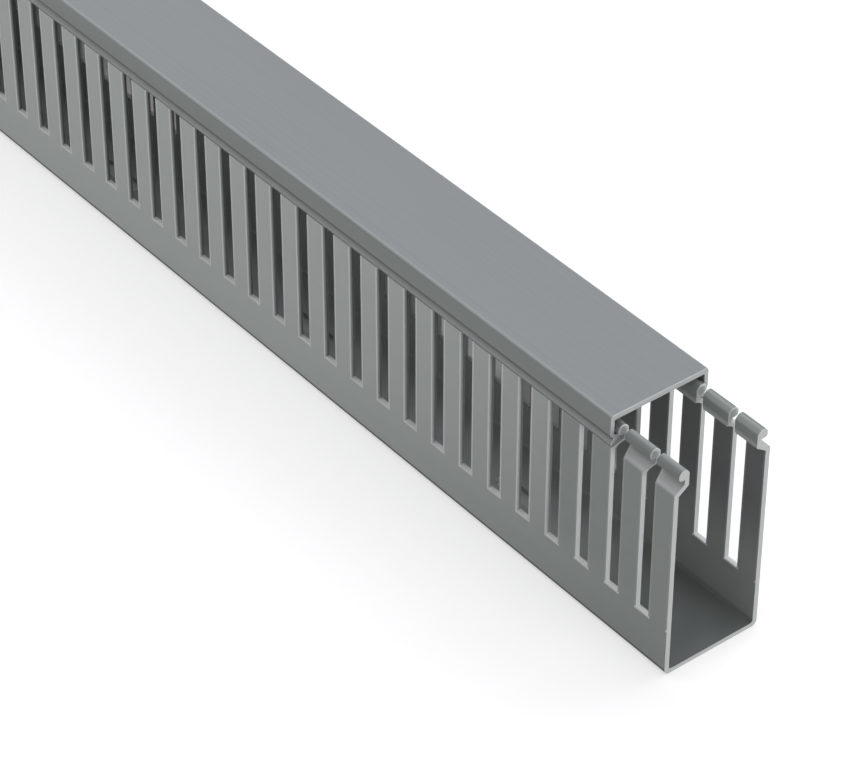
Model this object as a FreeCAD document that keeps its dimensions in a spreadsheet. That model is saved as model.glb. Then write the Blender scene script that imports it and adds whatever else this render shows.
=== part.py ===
# Slotted wire duct: a 1 m length of U channel with slotted side walls, and the cover that clips on it.
# Sizes are in millimetres. X runs along the duct, with the front end at +X. Y is across. Z is up,
# and Z = 0 is the underside of the floor.
import FreeCAD, Part
import Sketcher
import math
import os

os.makedirs("parts", exist_ok=True)
doc = FreeCAD.newDocument("wire_duct")

# Driving dimensions
DRIVING = [
    ("duct_length", "1000", "stock length of the channel"),
    ("cover_length", "1000", "stock length of the cover"),
    ("cover_set_back", "25", "front end of the channel to front end of the cover"),
    ("duct_width", "33.2", "over the side walls"),
    ("duct_height", "73.1", "underside of the floor to top of the cover"),
    ("wall_thick", "1.5", "side walls and fingers"),
    ("floor_thick", "1.4", "floor"),
    ("corner_outer", "2", "radius outside the floor's corners"),
    ("corner_inner", "1", "radius inside the floor's corners"),
    ("pitch", "12.5", "finger to finger"),
    ("finger_width", "7.5", "finger along the duct"),
    ("head_width", "10", "finger head along the duct"),
    ("slot_floor", "16", "underside of the floor to the bottom of the slots"),
    ("shoulder_run", "3.4", "shoulder, measured inwards"),
    ("shoulder_rise", "2.4", "shoulder, measured upwards"),
    ("neck_high", "1.5", "mouth of the groove between shoulder and bead"),
    ("neck_thick", "1.4", "upright web that carries the bead"),
    ("bead_high", "3.3", "bead, top to bottom"),
    ("bead_slope", "0.2", "how far the bead's underside rises outwards"),
    ("bead_bevel", "1", "bevel on the upper edge of the bead"),
    ("lip_bevel", "0.5", "bevel on the lower edge of the bead"),
    ("bead_inner_bevel", "1.2", "bevel on the inner top edge of the head"),
    ("head_gap", "1.7", "top of the finger heads to the underside of the cover"),
    ("cover_thick", "1.7", "cover plate"),
    ("cover_proud", "0.3", "how far the cover stands out past the side walls"),
    ("skirt_thick", "1.3", "skirt of the cover"),
    ("cover_round", "1", "radius of the cover's long edges"),
    ("cover_round_inner", "0.5", "radius inside the cover's long edges"),
    ("fit_gap", "0.3", "running clearance between cover and channel"),
    ("groove_deep", "1.1", "groove between skirt and foot of the cover"),
    ("skirt_turn", "1.2", "underside of the skirt, top to bottom"),
    ("groove_over_foot", "2.5", "foot of the cover to the bottom of its groove"),
    ("skirt_round", "1", "radius under the skirt"),
    ("lip_round", "1.1", "radius in the corner of skirt and lip"),
    ("foot_edge", "1", "upright outer edge of the cover's foot"),
    ("fix_start", "80", "front end to the middle of the first fixing hole"),
    ("fix_spacing", "100", "fixing hole to fixing hole"),
    ("fix_width", "5", "fixing hole across the duct"),
    ("fix_long", "20", "fixing hole along the duct"),
]

# Sizes that follow from the driving ones
DERIVED = [
    ("half_width", "=duct_width / 2"),
    ("front_end", "=duct_length / 2"),
    ("wall_inside", "=half_width - wall_thick"),
    ("slot_width", "=pitch - finger_width"),
    ("slot_front", "=front_end - finger_width"),
    ("slot_back", "=slot_front - slot_width"),
    ("head_overhang", "=(head_width - finger_width) / 2"),
    ("gap_front", "=slot_front - head_overhang"),
    ("gap_back", "=slot_back + head_overhang"),
    ("slot_count", "=floor((duct_length - finger_width) / pitch) + 1"),
    ("slot_reach", "=pitch * (slot_count - 1)"),
    ("last_slot", "=(slot_front + slot_back) / 2 - slot_reach"),
    ("past_rear", "=-front_end - pitch"),
    ("cut_across", "=duct_width * 2"),
    ("cut_top", "=duct_height + pitch"),
    ("cover_under", "=duct_height - cover_thick"),
    ("head_top", "=cover_under - head_gap"),
    ("bead_under", "=head_top - bead_high"),
    ("lip_under", "=bead_under + bead_slope"),
    ("shoulder_in", "=bead_under - neck_high"),
    ("shoulder_out", "=shoulder_in - shoulder_rise"),
    ("slope_length", "=sqrt(shoulder_run ^ 2 + shoulder_rise ^ 2)"),
    ("slope", "=shoulder_rise / shoulder_run"),
    ("neck_back", "=half_width - shoulder_run"),
    ("neck_inside", "=neck_back - neck_thick"),
    ("cover_half", "=half_width + cover_proud"),
    ("skirt_inside", "=cover_half - skirt_thick"),
    ("bead_out", "=skirt_inside - fit_gap"),
    ("shoulder_drop", "=wall_thick * slope_length / shoulder_run"),
    ("shoulder_root", "=shoulder_out - shoulder_drop + wall_thick * slope"),
    ("head_root", "=shoulder_in - shoulder_drop + neck_thick * slope"),
    ("bead_bevel_low", "=head_top - bead_bevel"),
    ("bead_bevel_in", "=bead_out - bead_bevel"),
    ("lip_bevel_in", "=bead_out - lip_bevel"),
    ("lip_bevel_up", "=lip_under + lip_bevel"),
    ("lip_slope", "=bead_slope / (lip_bevel_in - neck_back)"),
    ("bevel_in", "=neck_inside + bead_inner_bevel"),
    ("bevel_down", "=head_top - bead_inner_bevel"),
    ("foot_lift", "=fit_gap * slope_length / shoulder_run"),
    ("foot_out", "=shoulder_out + foot_lift"),
    ("foot_in", "=neck_back + fit_gap"),
    ("foot_in_under", "=shoulder_in - fit_gap * slope + foot_lift"),
    ("groove_in", "=cover_half - groove_deep"),
    ("groove_level", "=foot_out + groove_over_foot"),
    ("lip_top", "=bead_under + fit_gap * lip_slope - foot_lift"),
    ("lip_root", "=lip_top + (skirt_inside - foot_in) * lip_slope"),
    ("foot_edge_top", "=foot_out + foot_edge"),
    ("skirt_foot", "=groove_level + skirt_turn"),
    ("cover_middle", "=front_end - cover_set_back - cover_length / 2"),
    ("fix_first", "=front_end - fix_start"),
    ("fix_count", "=floor((duct_length - fix_start - fix_long / 2) / fix_spacing) + 1"),
    ("fix_reach", "=fix_spacing * (fix_count - 1)"),
    ("fix_round", "=fix_width / 2"),
    ("fix_ahead", "=fix_first + fix_long / 2 - fix_round"),
    ("fix_behind", "=fix_first - fix_long / 2 + fix_round"),
    ("fix_depth", "=floor_thick * 4"),
]

sheet = doc.addObject("Spreadsheet::Sheet", "Sizes")
for row, entry in enumerate(DRIVING + DERIVED, start=1):
    sheet.set("A%d" % row, entry[0])
    sheet.set("B%d" % row, entry[1])
    sheet.setAlias("B%d" % row, entry[0])
    if entry in DRIVING:
        sheet.set("C%d" % row, entry[2])
doc.recompute()


def value(text):
    """The number behind a size's name; a leading minus mirrors it."""
    if text == "0":
        return 0.0
    if text.startswith("-"):
        return -value(text[1:])
    return float(sheet.get(text))


def formula(text):
    """The expression that ties a constraint or a property to a size."""
    if text.startswith("-"):
        return "-Sizes." + text[1:]
    return "Sizes." + text


def bind(feature, target, text):
    feature.setExpression(target, formula(text))


def origin_feature(body, role):
    return next(f for f in body.Origin.OriginFeatures if f.Role == role)


def place_point(sketch, line, corner):
    """Ties the start of a line to the two sizes that place it."""
    for text, kind, axis in ((corner[0], "DistanceX", -2), (corner[1], "DistanceY", -1)):
        if text == "0":
            sketch.addConstraint(Sketcher.Constraint("PointOnObject", line, 1, axis))
            continue
        added = sketch.addConstraint(Sketcher.Constraint(kind, -1, 1, line, 1, value(text)))
        bind(sketch, "Constraints[%d]" % added, text)


def outline(body, name, plane, corners):
    """A closed outline through corners of (across, up) or (across, up, radius)."""
    sketch = body.newObject("Sketcher::SketchObject", name)
    sketch.AttachmentSupport = [(origin_feature(body, plane), "")]
    sketch.MapMode = "FlatFace"
    points = [FreeCAD.Vector(value(c[0]), value(c[1]), 0) for c in corners]
    for start, end in zip(points, points[1:] + points[:1]):
        sketch.addGeometry(Part.LineSegment(start, end), False)
    for line in range(len(points)):
        after = (line + 1) % len(points)
        sketch.addConstraint(Sketcher.Constraint("Coincident", line, 2, after, 1))
    for line, corner in enumerate(corners):
        place_point(sketch, line, corner)
    for line, corner in enumerate(corners):
        if len(corner) == 3:
            sketch.fillet(line, 1, value(corner[2]), True, True, False)
            arc = max(i for i, g in enumerate(sketch.Geometry) if g.TypeId == "Part::GeomArcOfCircle")
            added = sketch.addConstraint(Sketcher.Constraint("Radius", arc, value(corner[2])))
            bind(sketch, "Constraints[%d]" % added, corner[2])
    doc.recompute()
    return sketch


def oblong(body, name, ahead, behind, radius):
    """A slotted hole along X, with its round ends about two points of the X axis."""
    sketch = body.newObject("Sketcher::SketchObject", name)
    sketch.AttachmentSupport = [(origin_feature(body, "XY_Plane"), "")]
    sketch.MapMode = "FlatFace"
    half = value(radius)
    normal = FreeCAD.Vector(0, 0, 1)
    front = FreeCAD.Vector(value(ahead), 0, 0)
    back = FreeCAD.Vector(value(behind), 0, 0)
    side = FreeCAD.Vector(0, half, 0)
    quarter = math.pi / 2
    sketch.addGeometry(Part.ArcOfCircle(Part.Circle(front, normal, half), -quarter, quarter), False)
    sketch.addGeometry(Part.LineSegment(front + side, back + side), False)
    sketch.addGeometry(Part.ArcOfCircle(Part.Circle(back, normal, half), quarter, 3 * quarter), False)
    sketch.addGeometry(Part.LineSegment(back - side, front - side), False)
    for piece, end in ((0, 2), (1, 2), (2, 2), (3, 2)):
        sketch.addConstraint(Sketcher.Constraint("Tangent", piece, end, (piece + 1) % 4, 1))
    for arc, text in ((0, ahead), (2, behind)):
        sketch.addConstraint(Sketcher.Constraint("PointOnObject", arc, 3, -1))
        added = sketch.addConstraint(Sketcher.Constraint("DistanceX", -1, 1, arc, 3, value(text)))
        bind(sketch, "Constraints[%d]" % added, text)
    added = sketch.addConstraint(Sketcher.Constraint("Radius", 0, half))
    bind(sketch, "Constraints[%d]" % added, radius)
    doc.recompute()
    return sketch


def both_sides(right):
    """The corners of one side, then the same corners mirrored, in order round the outline."""
    return right + [("-" + c[0],) + c[1:] for c in reversed(right)]


def extrude(body, name, sketch, length):
    pad = body.newObject("PartDesign::Pad", name)
    pad.Profile = sketch
    pad.SideType = "Symmetric"
    bind(pad, "Length", length)
    doc.recompute()
    return pad


def punch(body, name, sketch, depth):
    """Cuts a sketch's outline symmetrically through the body."""
    before = body.Shape.Volume
    pocket = body.newObject("PartDesign::Pocket", name)
    pocket.Profile = sketch
    pocket.SideType = "Symmetric"
    bind(pocket, "Length", depth)
    doc.recompute()
    if not body.Shape.Volume < before:
        raise RuntimeError(name + " cuts nothing")
    return pocket


def repeat(body, name, feature, count, reach):
    """Repeats a cut towards -X, count times over reach."""
    pattern = body.newObject("PartDesign::LinearPattern", name)
    pattern.Originals = [feature]
    pattern.Direction = (origin_feature(body, "X_Axis"), [""])
    pattern.Reversed = True
    pattern.Mode = "Extent"
    bind(pattern, "Occurrences", count)
    bind(pattern, "Length", reach)
    body.Tip = pattern
    doc.recompute()
    return pattern


def make_channel():
    """The U channel: one extrusion with hooked wall tops, then its slots and fixing holes."""
    body = doc.addObject("PartDesign::Body", "duct_base")
    body.Label = "duct_base"
    right = [
        ("half_width", "0", "corner_outer"),
        ("half_width", "shoulder_out"),
        ("neck_back", "shoulder_in"),
        ("neck_back", "bead_under"),
        ("lip_bevel_in", "lip_under"),
        ("bead_out", "lip_bevel_up"),
        ("bead_out", "bead_bevel_low"),
        ("bead_bevel_in", "head_top"),
        ("bevel_in", "head_top"),
        ("neck_inside", "bevel_down"),
        ("neck_inside", "head_root"),
        ("wall_inside", "shoulder_root"),
        ("wall_inside", "floor_thick", "corner_inner"),
    ]
    section = outline(body, "channel_section", "YZ_Plane", both_sides(right))
    extrude(body, "channel", section, "duct_length")
    slot = outline(body, "slot_outline", "XZ_Plane", [
        ("slot_front", "slot_floor"),
        ("slot_front", "shoulder_out"),
        ("gap_front", "shoulder_in"),
        ("gap_front", "cut_top"),
        ("gap_back", "cut_top"),
        ("gap_back", "shoulder_in"),
        ("slot_back", "shoulder_out"),
        ("slot_back", "slot_floor"),
    ])
    slots = punch(body, "slot", slot, "cut_across")
    repeat(body, "slots", slots, "slot_count", "slot_reach")
    trim = outline(body, "rear_outline", "XZ_Plane", [
        ("last_slot", "slot_floor"),
        ("last_slot", "cut_top"),
        ("past_rear", "cut_top"),
        ("past_rear", "slot_floor"),
    ])
    punch(body, "rear_end", trim, "cut_across")
    hole = oblong(body, "fixing_outline", "fix_ahead", "fix_behind", "fix_round")
    holes = punch(body, "fixing_hole", hole, "fix_depth")
    repeat(body, "fixing_holes", holes, "fix_count", "fix_reach")
    return body


def make_cover():
    """The cover: one extrusion whose lips clip under the beads of the channel's finger heads."""
    body = doc.addObject("PartDesign::Body", "duct_cover")
    body.Label = "duct_cover"
    right = [
        ("cover_half", "duct_height", "cover_round"),
        ("cover_half", "skirt_foot", "skirt_round"),
        ("groove_in", "groove_level"),
        ("half_width", "foot_edge_top"),
        ("half_width", "foot_out"),
        ("foot_in", "foot_in_under"),
        ("foot_in", "lip_top"),
        ("skirt_inside", "lip_root", "lip_round"),
        ("skirt_inside", "cover_under", "cover_round_inner"),
    ]
    section = outline(body, "cover_section", "YZ_Plane", both_sides(right))
    extrude(body, "cover", section, "cover_length")
    bind(body, "Placement.Base.x", "cover_middle")
    doc.recompute()
    return body


bodies = [make_channel(), make_cover()]
for item in doc.Objects:
    if "Invalid" in item.State or "Error" in item.State:
        raise RuntimeError(item.Name + " failed")
for body in bodies:
    shape = body.Shape
    if shape.isNull() or not shape.isValid() or len(shape.Solids) != 1:
        raise RuntimeError(body.Label + " is not one valid solid")
    print(body.Label, "volume", round(shape.Volume, 1), "faces", len(shape.Faces), shape.BoundBox)
    shape.exportStep("parts/" + body.Label + ".step")
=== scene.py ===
import math

import bpy
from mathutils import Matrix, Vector


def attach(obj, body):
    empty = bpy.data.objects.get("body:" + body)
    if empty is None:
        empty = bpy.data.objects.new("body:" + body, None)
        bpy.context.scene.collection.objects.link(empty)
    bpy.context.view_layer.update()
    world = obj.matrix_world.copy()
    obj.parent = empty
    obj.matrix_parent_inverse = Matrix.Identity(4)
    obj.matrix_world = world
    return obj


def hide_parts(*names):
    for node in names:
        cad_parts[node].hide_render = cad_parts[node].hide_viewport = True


MM = 0.001

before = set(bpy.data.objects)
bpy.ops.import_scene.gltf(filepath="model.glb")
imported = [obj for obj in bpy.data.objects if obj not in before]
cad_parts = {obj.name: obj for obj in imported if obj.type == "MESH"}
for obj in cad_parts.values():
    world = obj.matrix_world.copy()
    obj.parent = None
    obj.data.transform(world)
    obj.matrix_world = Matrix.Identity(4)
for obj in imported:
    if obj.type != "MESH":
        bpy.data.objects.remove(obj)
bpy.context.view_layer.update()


# Shader maths

class Term:
    """A socket's output, so that shader maths reads as an expression."""

    def __init__(self, shade, socket):
        self.shade = shade
        self.socket = socket

    def __add__(self, other):
        return self.shade.maths("ADD", self, other)

    def __sub__(self, other):
        return self.shade.maths("SUBTRACT", self, other)

    def __mul__(self, other):
        return self.shade.maths("MULTIPLY", self, other)

    def __rsub__(self, other):
        return self.shade.maths("SUBTRACT", other, self)


class Shade:
    """A material's node tree, with one method that adds any node."""

    def __init__(self, name):
        self.material = bpy.data.materials.new(name)
        self.material.use_nodes = True
        self.tree = self.material.node_tree
        self.tree.nodes.clear()

    def add(self, kind, **inputs):
        node = self.tree.nodes.new("ShaderNode" + kind)
        for name, given in inputs.items():
            self.feed(node.inputs[name.replace("_", " ")], given)
        return node

    def feed(self, socket, given):
        if isinstance(given, Term):
            self.tree.links.new(given.socket, socket)
        else:
            socket.default_value = given

    def maths(self, operation, first, second=0.0):
        node = self.add("Math")
        node.operation = operation
        self.feed(node.inputs[0], first)
        self.feed(node.inputs[1], second)
        return Term(self, node.outputs[0])

    def out(self, node, name):
        return Term(self, node.outputs[name])

    def ramp(self, value, low, high, low_value=0.0, high_value=1.0):
        """Maps low..high of a value to low_value..high_value, smoothly."""
        node = self.add("MapRange", Value=value, From_Min=low, From_Max=high,
                        To_Min=low_value, To_Max=high_value)
        node.interpolation_type = "SMOOTHSTEP"
        return self.out(node, "Result")

    def noise(self, place, waves, detail, roughness=0.5):
        """Noise with so many waves a metre along, across and up."""
        stretched = self.out(self.add("Mapping", Vector=place, Scale=waves), "Vector")
        node = self.add("TexNoise", Vector=stretched, Scale=1.0, Detail=detail,
                        Roughness=roughness)
        return self.out(node, "Fac")

    def blend(self, factor, first, second):
        node = self.add("Mix")
        node.data_type = "RGBA"
        self.feed(node.inputs["Factor"], factor)
        colours = [s for s in node.inputs if s.type == "RGBA"]
        for socket, given in zip(colours, (first, second)):
            self.feed(socket, given)
        return Term(self, next(s for s in node.outputs if s.type == "RGBA"))

    def finish(self, shader):
        node = self.add("OutputMaterial")
        self.tree.links.new(shader.outputs[0], node.inputs["Surface"])
        return self.material


def colour(red, green, blue):
    """A colour on screen, 0 to 255, as the linear colour that a shader takes."""
    def linear(level):
        share = level / 255
        return share / 12.92 if share <= 0.04045 else ((share + 0.055) / 1.055) ** 2.4
    return (linear(red), linear(green), linear(blue), 1.0)


BLACK = (0.0, 0.0, 0.0, 1.0)
WHITE = (1.0, 1.0, 1.0, 1.0)
COOL_LIGHT = (0.985, 0.965, 1.04)
CARD = (0.35, 0.35, 0.35, 1.0)
PAPER = (0.6, 0.6, 0.6, 1.0)
# Painted shadow on the floor: the strip behind the duct, darker still towards its ends
PAINTED_SHADOW_PAPER = (0.2, 0.2, 0.2, 1.0)
DEEP_PAINTED_SHADOW_PAPER = (0.08, 0.08, 0.08, 1.0)
GREY_FACE = colour(160, 167, 163)
GREY_STREAK = colour(158, 165, 161)
# Painted light: the paler grey that the walls take away from the front end
PAINTED_LIGHT_GREY = colour(201, 208, 204)
# Painted light and shade inside the channel
INSIDE_PAINTED_LIGHT = colour(170, 175, 173)
INSIDE_PAINTED_SHADE = colour(130, 134, 133)
# Painted shade on the inner floor at the open end
INNER_FLOOR_PAINTED_SHADE = colour(128, 133, 132)
GREY_CUT = colour(186, 189, 188)
# Pale rims: the whitening of punched plastic, and a painted highlight
PALE_RIM = colour(240, 243, 242)
# Painted light on the cut faces round the front slots
FRONT_CUT_PAINTED_LIGHT = colour(214, 218, 217)
# Painted shade along the outside bottom corners
BOTTOM_EDGE_PAINTED_SHADE = colour(58, 60, 60)
# Painted shade in the slots
SLOT_PAINTED_SHADE = colour(96, 100, 99)
HEAD_GREY = colour(134, 141, 138)
# Painted shade in the cover's groove and under its foot
GROOVE_PAINTED_SHADE = colour(98, 102, 101)
SKIRT_GREY = colour(149, 156, 152)
COVER_FACE = colour(147, 152, 153)
COVER_STREAK = colour(144, 149, 150)
COVER_CUT = colour(170, 173, 173)
# Pale edges: the whitening of cut plastic, and a painted highlight
COVER_SAWN_EDGE_HIGHLIGHT = colour(192, 196, 195)
PALE_EDGE = colour(222, 226, 225)
# Painted highlight on the cover's foot and top edges
EDGE_HIGHLIGHT = colour(170, 175, 173)

# Noise on the plastic: waves a metre along, across and up
LINE_WAVES = (4.0, 900.0, 900.0)
BROAD_WAVES = (6.0, 22.0, 22.0)
SAW_WAVES = (40.0, 700.0, 2600.0)
GRAIN_WAVES = (2600.0, 2600.0, 2600.0)

# Between which noise values it takes effect, and what it does to the surface
TINT_CONTRAST = (0.36, 0.64)
LINE_CONTRAST = (0.3, 0.7)
ROUGHNESS = (0.42, 0.52)
BUMP_STRENGTH = 0.16
BUMP_DEPTH = 0.06 * MM

# How far a face is turned along the duct to count as cut, and how much rougher it then is
CUT_FACING = (0.55, 0.8)
CUT_ROUGHER = 0.18
SPECULAR = 0.4


def extruded_plastic(name, face_colour, streak_colour, cut_colour, paint=None):
    """Matt rigid plastic: faint lines along the extrusion, and paler sawn and punched faces.

    paint adds a piece's own marks and its painted light and shade: it takes the tree, the place
    along, across and up, and the colours of skin and cut, and gives both back.
    """
    shade = Shade(name)
    place = shade.out(shade.add("TexCoord"), "Object")
    axes = shade.add("SeparateXYZ", Vector=place)
    along, across, up = (shade.out(axes, axis) for axis in "XYZ")
    facing = shade.add("SeparateXYZ", Vector=shade.out(shade.add("NewGeometry"), "Normal"))
    cut = shade.ramp(shade.maths("ABSOLUTE", shade.out(facing, "X")), *CUT_FACING)

    lines = shade.noise(place, LINE_WAVES, detail=4.0, roughness=0.6)
    broad = shade.noise(place, BROAD_WAVES, detail=2.0)
    grain = shade.noise(place, GRAIN_WAVES, detail=2.0)
    saw = shade.noise(place, SAW_WAVES, detail=3.0, roughness=0.6)

    tint = shade.ramp(lines * 0.5 + broad * 0.5, *TINT_CONTRAST)
    skin = shade.blend(tint, face_colour, streak_colour)
    if paint:
        skin, cut_colour = paint(shade, along, across, up, skin, cut_colour)
    surface = shade.blend(cut, skin, cut_colour)
    roughness = shade.ramp(lines, *LINE_CONTRAST, *ROUGHNESS) + cut * CUT_ROUGHER
    relief = (lines * 0.5 + grain * 0.25) * (1 - cut) + saw * cut
    bump = shade.add("Bump", Strength=BUMP_STRENGTH, Distance=BUMP_DEPTH, Height=relief)
    shader = shade.add("BsdfPrincipled", Base_Color=surface, Roughness=roughness,
                       Normal=shade.out(bump, "Normal"))
    shader.inputs["Specular IOR Level"].default_value = SPECULAR
    return shade.finish(shader)


def span(none, full):
    """A pair of places in millimetres, between which a mark grows from none to full."""
    return (none * MM, full * MM)


# The channel's slots and the shoulders of its fingers, and the heights that follow from them
PITCH = 12.5 * MM
HALF_SLOT = 2.5 * MM
FIRST_SLOT = 490 * MM
SLOT_FLOOR = 16 * MM
SHOULDER = 62.5 * MM
INSIDE_LEVEL = (SHOULDER + 2.0 * MM, SHOULDER)
RIM_LEVEL = (SHOULDER + 0.8 * MM, SHOULDER)
BEND_LEVEL = (SHOULDER, SHOULDER + 0.3 * MM)
UNDER_SHOULDER = (SHOULDER, SHOULDER - 1.0 * MM)
SLOT_LEVEL = (SLOT_FLOOR, SLOT_FLOOR + 0.5 * MM)

# Along the duct, where +500 is its front end
FRONT_SLOTS = span(448, 458)
PALE_DRIFT = span(485, 300)
DARK_DRIFT = span(400, -50)
BRIGHT_FRONT = span(400, 440)
BEHIND_FRONT = span(460, 440)
SHADED_FLOOR_FRONT = span(440, 475)
BEHIND_END_FACE = span(499, 498)

# Across it, from its middle
FAR_WALL = span(0, 1)
NEAR_WALL = span(0, -1)
INTO_NEAR_WALL = span(-16.4, -15.5)
INNER_FACES = span(15.6, 15.2)
INNER_FLOOR = span(15.3, 15.0)
OUTER_CORNER = span(15.3, 15.8)
HEAD_OUTSIDE = span(13.3, 14.2)
COVER_SIDE = span(15.9, 16.3)

# Up from its underside
CORNER_SHADE = span(2.4, 1.8)
FLOOR_LEVEL = (span(1.0, 1.3), span(3.2, 1.6))
ABOVE_BASE = span(12, 26)
HIGH_INSIDE = span(18, 45)
SHOULDER_TOP = span(66.0, 65.0)
HEAD_LEVEL = span(66.0, 66.5)
FOOT_UNDERSIDE = span(63.5, 63.2)
FOOT_LEVEL = span(65.0, 64.2)
GROOVE_LEVEL = (span(64.9, 65.3), span(66.9, 66.4))
SKIRT_LEVEL = span(72.6, 72.2)
COVER_TOP = span(72.4, 72.8)

# From a slot's edge
PALE_BAND = span(0.8, 0.3)
SLOT_FACE = span(0.2, 0.1)

# Painted light: the paler grey begins further back higher up, and comes in fast and then slowly
DRIFT_SLANT = 0.9
DRIFT_CURVE = 0.6

# Shares of a mark's full strength
FRONT_RIMS = 0.2
BEND_HIGHLIGHT = 0.4
DEEP_SLOT_SHADE = 0.9
COVER_SHADE_SHARE = 0.8


def far_side(shade, along, across):
    """1 on the wall that only its slots show, away from the front end."""
    return shade.ramp(across, *FAR_WALL) * shade.ramp(along, *BEHIND_FRONT)


def between(shade, value, spans):
    """1 between two places, fading out past each."""
    return shade.ramp(value, *spans[0]) * shade.ramp(value, *spans[1])


def edge_marks(shade, along, across, up, skin, cut):
    """Painted shade on the edges of the far wall's slots."""
    skin = shade.blend(far_side(shade, along, across), skin, SLOT_PAINTED_SHADE)
    return skin, skin


def channel_marks(shade, along, across, up, skin, cut):
    """Painted light and shade: a drift to a paler grey away from the front end, and pale rims round
    the slots, partly the whitening of punched plastic and partly a painted highlight.

    Inside, the drift is to a darker grey: painted light high up near the open end gives way to
    painted shade further in. The finger heads are darker too. Painted shade darkens the floor
    inside the open end, the bottom corners and the depths of the slots, and painted light makes
    the cut faces round the front slots paler.
    """
    out = shade.maths("ABSOLUTE", across)
    front = shade.ramp(along, *FRONT_SLOTS)
    # Painted light: a paler grey away from the front end, kept off the front fingers above the base
    away = shade.maths("POWER", shade.ramp(along - up * DRIFT_SLANT, *PALE_DRIFT), DRIFT_CURVE)
    away = away * (1 - front * shade.ramp(up, *ABOVE_BASE))
    skin = shade.blend(away, skin, PAINTED_LIGHT_GREY)
    # Painted light and shade on the inside faces: lighter high up near the open end, darker further
    # in
    high = shade.ramp(up, *HIGH_INSIDE) * shade.ramp(along, *BRIGHT_FRONT)
    near = shade.blend(high, INSIDE_PAINTED_LIGHT, INSIDE_PAINTED_SHADE)
    inner = shade.blend(shade.ramp(along, *DARK_DRIFT), near, INSIDE_PAINTED_SHADE)
    inside = shade.ramp(out, *INNER_FACES) * shade.ramp(up, *INSIDE_LEVEL)
    skin = shade.blend(inside, skin, inner)

    # Pale rims round the slots: partly the whitening of punched plastic, partly a painted highlight
    from_slot = shade.maths("PINGPONG", along - FIRST_SLOT, PITCH / 2) - HALF_SLOT
    rim = shade.maths("MAXIMUM", from_slot, SLOT_FLOOR - up)
    pale = shade.ramp(rim, *PALE_BAND) * shade.ramp(up, *RIM_LEVEL)
    beside_slot = shade.ramp(up, *SLOT_LEVEL)
    far = far_side(shade, along, across)
    pale = pale * (1 - far) * (1 - front * beside_slot * (1 - FRONT_RIMS))
    # Painted highlight along the bend at the shoulders
    bent = shade.ramp(up, *BEND_LEVEL) * shade.ramp(up, *SHOULDER_TOP)
    skin = shade.blend(shade.maths("MAXIMUM", pale, bent * BEND_HIGHLIGHT), skin, PALE_RIM)
    # Painted shade on the far wall's slot faces
    slot_face = shade.ramp(rim, *SLOT_FACE) * shade.ramp(up, *UNDER_SHOULDER)
    skin = shade.blend(slot_face * far, skin, SLOT_PAINTED_SHADE)

    head = shade.ramp(up, *HEAD_LEVEL) * shade.ramp(out, *HEAD_OUTSIDE)
    skin = shade.blend(head, skin, HEAD_GREY)
    # Painted shade on the inner floor and its corners at the open end
    bottom = between(shade, up, FLOOR_LEVEL) * shade.ramp(out, *INNER_FLOOR)
    skin = shade.blend(bottom * shade.ramp(along, *SHADED_FLOOR_FRONT), skin, INNER_FLOOR_PAINTED_SHADE)
    # Painted shade along the outside bottom corners
    under = shade.ramp(up, *CORNER_SHADE) * shade.ramp(out, *OUTER_CORNER)
    skin = shade.blend(under, skin, BOTTOM_EDGE_PAINTED_SHADE)

    # Painted shade deep in the near wall's slots behind the front, and on the far wall's cut faces
    deep = shade.ramp(across, *INTO_NEAR_WALL) * shade.ramp(across, *NEAR_WALL)
    deep = deep * shade.ramp(up, *UNDER_SHOULDER) * (1 - front)
    # Painted light: the cut faces round the front slots, short of the end face, are paler
    cut = shade.blend(front * shade.ramp(along, *BEHIND_END_FACE), cut, FRONT_CUT_PAINTED_LIGHT)
    return skin, shade.blend(shade.maths("MAXIMUM", deep * DEEP_SLOT_SHADE, far), cut, SLOT_PAINTED_SHADE)


def cover_marks(shade, along, across, up, skin, cut):
    """A greener skirt, painted shade in the groove and under the foot, and painted highlights on the
    foot and the top edges.
    """
    skin = shade.blend(shade.ramp(up, *SKIRT_LEVEL), skin, SKIRT_GREY)
    # Painted highlight along the foot
    skin = shade.blend(shade.ramp(up, *FOOT_LEVEL), skin, EDGE_HIGHLIGHT)
    # Painted shade in the groove and under the foot
    under_foot = shade.ramp(up, *FOOT_UNDERSIDE)
    painted_shade = shade.maths("MAXIMUM", between(shade, up, GROOVE_LEVEL), under_foot)
    skin = shade.blend(painted_shade * COVER_SHADE_SHARE, skin, GROOVE_PAINTED_SHADE)
    out = shade.maths("ABSOLUTE", across)
    # Painted highlight along the top edges
    top_edge_highlight = shade.ramp(out, *COVER_SIDE) * shade.ramp(up, *COVER_TOP)
    return shade.blend(top_edge_highlight, skin, EDGE_HIGHLIGHT), cut


# Modelling helpers: distances, angles in degrees, and the share of a normal along the duct
MERGE_DISTANCE = 0.002 * MM
FLAT_ANGLE = 0.5
SAME_LINE = 0.01 * MM
CORNER_REACH = 0.05 * MM
EDGE_ANGLE = 25
SMOOTH_ANGLE = 28
CROSSWISE = 0.2


def select_none():
    if bpy.context.mode != "OBJECT":
        bpy.ops.object.mode_set(mode="OBJECT")
    bpy.ops.object.select_all(action="DESELECT")


def work_on(piece):
    select_none()
    piece.select_set(True)
    bpy.context.view_layer.objects.active = piece


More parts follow.
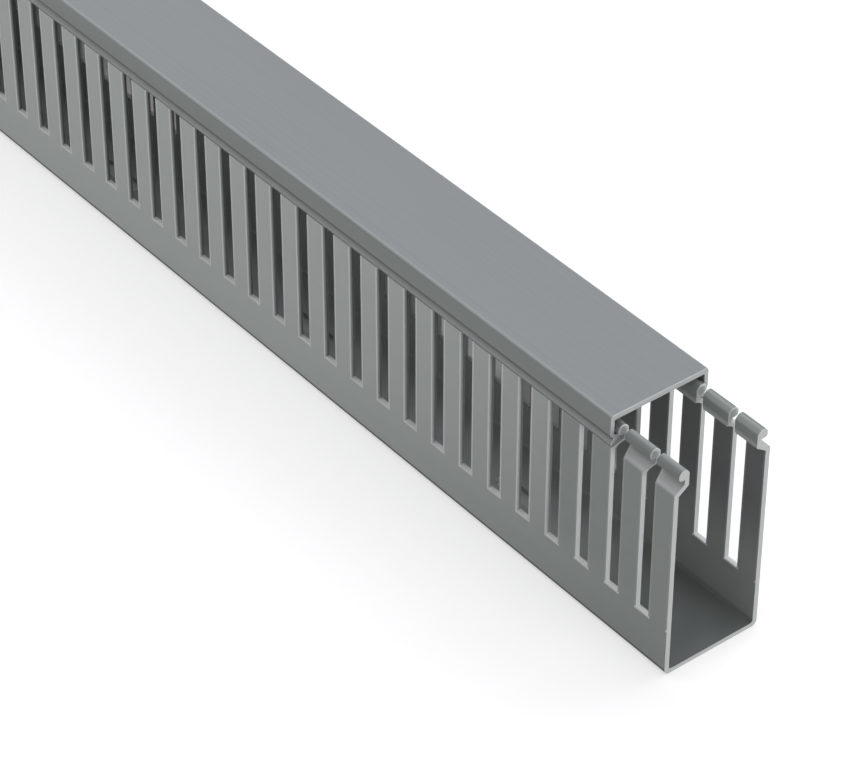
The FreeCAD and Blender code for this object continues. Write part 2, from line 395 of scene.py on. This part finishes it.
def merged_copy(node, name, materials):
    """A new piece with the node's shape, its triangles merged back into whole faces."""
    piece = bpy.data.objects.new(name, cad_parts[node].data.copy())
    bpy.context.scene.collection.objects.link(piece)
    piece.data.materials.clear()
    for material in materials:
        piece.data.materials.append(material)
    work_on(piece)
    bpy.ops.object.mode_set(mode="EDIT")
    bpy.ops.mesh.select_all(action="SELECT")
    bpy.ops.mesh.remove_doubles(threshold=MERGE_DISTANCE)
    bpy.ops.mesh.dissolve_limited(angle_limit=math.radians(FLAT_ANGLE))
    bpy.ops.object.mode_set(mode="OBJECT")
    return piece


def apply_modifier(piece, kind, **settings):
    work_on(piece)
    modifier = piece.modifiers.new(kind.lower(), kind)
    for name, setting in settings.items():
        setattr(modifier, name, setting)
    bpy.ops.object.modifier_apply(modifier=modifier.name)


def round_long_edges(piece, corners, radius):
    """Rounds the edges that run along the duct through corners of (across, up), both sides."""
    work_on(piece)
    bpy.ops.object.mode_set(mode="EDIT")
    bpy.ops.mesh.select_mode(type="EDGE")
    bpy.ops.mesh.select_all(action="DESELECT")
    bpy.ops.object.mode_set(mode="OBJECT")
    points = piece.data.vertices
    for edge in piece.data.edges:
        start, end = (points[v].co for v in edge.vertices)
        runs_along = abs(start.y - end.y) < SAME_LINE and abs(start.z - end.z) < SAME_LINE
        edge.select = runs_along and any(
            abs(abs(start.y) - across * MM) < CORNER_REACH and abs(start.z - up * MM) < CORNER_REACH
            for across, up in corners)
    bpy.ops.object.mode_set(mode="EDIT")
    bpy.ops.mesh.bevel(offset=radius, segments=3, profile=0.5, clamp_overlap=True)
    bpy.ops.object.mode_set(mode="OBJECT")


def break_edges(piece, width, pale_heights=()):
    """The small radius that every real edge has, and clean shading over it.

    The new faces are pale on punched and sawn edges, and along the extrusion only near the
    heights given, each with its reach: partly the whitening of cut plastic, partly a painted
    highlight.
    """
    apply_modifier(piece, "BEVEL", width=width, segments=2, limit_method="ANGLE",
                   angle_limit=math.radians(EDGE_ANGLE), use_clamp_overlap=True, material=1)
    for face in piece.data.polygons:
        pale = any(abs(face.center.z - height) < reach for height, reach in pale_heights)
        if abs(face.normal.x) < CROSSWISE and not pale:
            face.material_index = 0
    work_on(piece)
    bpy.ops.object.shade_smooth_by_angle(angle=math.radians(SMOOTH_ANGLE))
    apply_modifier(piece, "WEIGHTED_NORMAL", keep_sharp=True)


# The pieces

# Corners of the finger heads' section: across and up, in millimetres
HEAD_CORNERS = [(14.8, 66.6), (15.3, 67.1), (15.3, 68.7), (14.3, 69.7), (13.0, 69.7), (11.8, 68.5)]
HEAD_ROUNDING = 0.34 * MM

# The slots' floors and the bend at the shoulders, each with its reach
# There the pale edges run along the extrusion as a painted highlight
PALE_HEIGHTS = [(SLOT_FLOOR, 0.5 * MM), (SHOULDER, 0.4 * MM)]
CHANNEL_BREAK = 0.22 * MM
COVER_BREAK = 0.2 * MM


def make_channel(materials):
    piece = merged_copy("duct_base", "channel_dressed", materials)
    round_long_edges(piece, HEAD_CORNERS, HEAD_ROUNDING)
    break_edges(piece, CHANNEL_BREAK, PALE_HEIGHTS)
    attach(piece, "channel")
    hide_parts("duct_base")


def make_cover(materials):
    piece = merged_copy("duct_cover", "cover_dressed", materials)
    break_edges(piece, COVER_BREAK)
    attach(piece, "cover")
    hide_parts("duct_cover")


# The studio

# Patches of the floor: across the duct, then along it
BESIDE_DUCT = span(14.6, 15.5)
PAST_ENDS = span(497, 499)
# Painted light: ahead of the front end the floor glows brighter than elsewhere
FRONT_FLOOR_PAINTED_LIGHT = (span(-22, -10), span(499, 506))
BEHIND_DUCT = (span(0, 10), span(-530, -480))
# Painted shadow: a strip behind the duct that loses most of its glow, darker towards its ends
CLOSE_STRIP = (span(44, 36), span(445, 420))
WIDE_STRIP = (span(72, 34), span(395, 355))
DARK_ENDS = (span(185, 155), span(368, 378))
STRIP_LOSS = 0.9
PLAIN_GLOW = 0.85
FLOOR_GLOW = 0.66
FLOOR_SIZE = 12.0


def white_floor():
    """White to the camera, with the object's own soft shadow.

    It doesn't glow under the object. A strip behind it, which the slots show, carries a painted
    shadow that is darker towards its ends, and just ahead of the front end the floor glows
    brighter: painted light.
    """
    shade = Shade("white_floor")
    path = shade.add("LightPath")
    seen = shade.maths("MAXIMUM", shade.out(path, "Is Camera Ray"), shade.out(path, "Is Glossy Ray"))
    seen = shade.maths("MAXIMUM", seen, shade.out(path, "Is Transmission Ray"))
    axes = shade.add("SeparateXYZ", Vector=shade.out(shade.add("TexCoord"), "Object"))
    across, along = shade.out(axes, "Y"), shade.out(axes, "X")

    def patch(across_span, along_span):
        return shade.ramp(across, *across_span) * shade.ramp(along, *along_span)

    beside = shade.ramp(shade.maths("ABSOLUTE", across), *BESIDE_DUCT)
    ahead = shade.ramp(shade.maths("ABSOLUTE", along), *PAST_ENDS)
    close_or_wide = shade.maths("MAXIMUM", patch(*CLOSE_STRIP), patch(*WIDE_STRIP))
    # Painted shadow on the strip behind the duct, in both its glow and its paper
    behind = patch(*BEHIND_DUCT) * close_or_wide
    clear = shade.maths("MAXIMUM", beside, ahead) * (1 - behind * STRIP_LOSS)
    # Painted light: a brighter glow on the floor ahead of the front end
    clear = clear * (patch(*FRONT_FLOOR_PAINTED_LIGHT) * (1 - PLAIN_GLOW) + PLAIN_GLOW)
    dark = shade.maths("MAXIMUM", *(shade.ramp(along, *end) for end in DARK_ENDS))
    strip = shade.blend(dark, PAINTED_SHADOW_PAPER, DEEP_PAINTED_SHADOW_PAPER)
    card = shade.add("BsdfDiffuse", Color=CARD)
    paper = shade.add("BsdfPrincipled", Base_Color=shade.blend(behind, PAPER, strip),
                      Roughness=1.0, Emission_Color=shade.blend(clear, BLACK, WHITE),
                      Emission_Strength=FLOOR_GLOW)
    paper.inputs["Specular IOR Level"].default_value = 0.0
    floor = shade.add("MixShader", Fac=seen)
    shade.tree.links.new(card.outputs[0], floor.inputs[1])
    shade.tree.links.new(paper.outputs[0], floor.inputs[2])
    return shade.finish(floor)


def make_floor():
    select_none()
    bpy.ops.mesh.primitive_plane_add(size=FLOOR_SIZE, location=(0, 0, 0))
    floor = bpy.context.active_object
    floor.name = "studio_floor"
    floor.data.materials.append(white_floor())


DOME_FADE = (0.15, 0.75)


def make_world(low_strength, high_strength):
    """A soft dome, brighter overhead than near the floor, and white to the camera."""
    world = bpy.data.worlds.new("studio")
    bpy.context.scene.world = world
    world.use_nodes = True
    nodes, links = world.node_tree.nodes, world.node_tree.links
    nodes.clear()

    def background(strength):
        node = nodes.new("ShaderNodeBackground")
        node.inputs["Color"].default_value = WHITE
        node.inputs["Strength"].default_value = strength
        return node.outputs[0]

    def mix(factor, first, second):
        node = nodes.new("ShaderNodeMixShader")
        for socket, given in zip(node.inputs, (factor, first, second)):
            links.new(given, socket)
        return node.outputs[0]

    place = nodes.new("ShaderNodeTexCoord")
    axes = nodes.new("ShaderNodeSeparateXYZ")
    links.new(place.outputs["Generated"], axes.inputs[0])
    height = nodes.new("ShaderNodeMapRange")
    height.interpolation_type = "SMOOTHSTEP"
    height.inputs["From Min"].default_value, height.inputs["From Max"].default_value = DOME_FADE
    links.new(axes.outputs["Z"], height.inputs["Value"])
    dome = mix(height.outputs["Result"], background(low_strength), background(high_strength))
    path = nodes.new("ShaderNodeLightPath")
    seen = mix(path.outputs["Is Camera Ray"], dome, background(1.0))
    output = nodes.new("ShaderNodeOutputWorld")
    links.new(seen, output.inputs["Surface"])


def make_sun(name, azimuth, elevation, strength, softness, tint=(1, 1, 1)):
    """A broad lamp that shines from a direction: azimuth 0 is from -Y, 90 from +X."""
    select_none()
    bpy.ops.object.light_add(type="SUN", location=(0, 0, 2))
    lamp = bpy.context.active_object
    lamp.name = name
    lamp.data.energy = strength
    lamp.data.color = tint
    lamp.data.angle = math.radians(softness)
    lamp.rotation_euler = (math.radians(90 - elevation), 0, math.radians(azimuth))


def make_panel(name, place, aim, width, height, power):
    """A soft lamp panel at a place, facing a point."""
    select_none()
    bpy.ops.object.light_add(type="AREA", location=place)
    lamp = bpy.context.active_object
    lamp.name = name
    lamp.data.shape = "RECTANGLE"
    lamp.data.size = width
    lamp.data.size_y = height
    lamp.data.energy = power
    lamp.rotation_euler = (Vector(aim) - Vector(place)).to_track_quat("-Z", "Y").to_euler()


# The camera stands where the photograph's did, with its long lens
PHOTO_WIDTH = 843
FOCAL_PIXELS = 3543
CAMERA_AZIMUTH = 51.8
CAMERA_DOWN = 38.42
CAMERA_PLACE = (1.0044, -0.4960, 0.6490)
SENSOR = 36.0
CLIP_END = 30.0


def make_camera():
    select_none()
    bpy.ops.object.camera_add(location=CAMERA_PLACE)
    camera = bpy.context.active_object
    camera.rotation_euler = (math.radians(90 - CAMERA_DOWN), 0, math.radians(CAMERA_AZIMUTH))
    camera.data.sensor_width = SENSOR
    camera.data.lens = SENSOR * FOCAL_PIXELS / PHOTO_WIDTH
    camera.data.clip_end = CLIP_END
    bpy.context.scene.camera = camera


make_camera()
# Edge materials: pale, partly the whitening of cut plastic and partly a painted highlight
pale_edge = extruded_plastic("pale_edge", PALE_EDGE, PALE_EDGE, PALE_EDGE, edge_marks)
cover_edge = extruded_plastic("cover_edge", COVER_SAWN_EDGE_HIGHLIGHT, COVER_SAWN_EDGE_HIGHLIGHT, COVER_SAWN_EDGE_HIGHLIGHT)
channel_grey = extruded_plastic("channel_grey", GREY_FACE, GREY_STREAK, GREY_CUT, channel_marks)
cover_grey = extruded_plastic("cover_grey", COVER_FACE, COVER_STREAK, COVER_CUT, cover_marks)
make_channel([channel_grey, pale_edge])
make_cover([cover_grey, cover_edge])
make_floor()
make_world(low_strength=0.22, high_strength=0.38)
make_sun("key_lamp", azimuth=270, elevation=50, strength=1.08, softness=55, tint=COOL_LIGHT)
make_sun("shadow_lamp", azimuth=184, elevation=50, strength=0.8, softness=40, tint=COOL_LIGHT)
make_sun("end_lamp", azimuth=104, elevation=5, strength=1.5, softness=25)
make_sun("edge_lamp", azimuth=84, elevation=5, strength=0.8, softness=14)
make_panel("side_panel", place=(-0.55, -0.75, 0.4), aim=(0.1, 0.0, 0.04), width=0.5, height=0.3,
           power=1.0)
bpy.context.scene.view_settings.view_transform = "Standard"
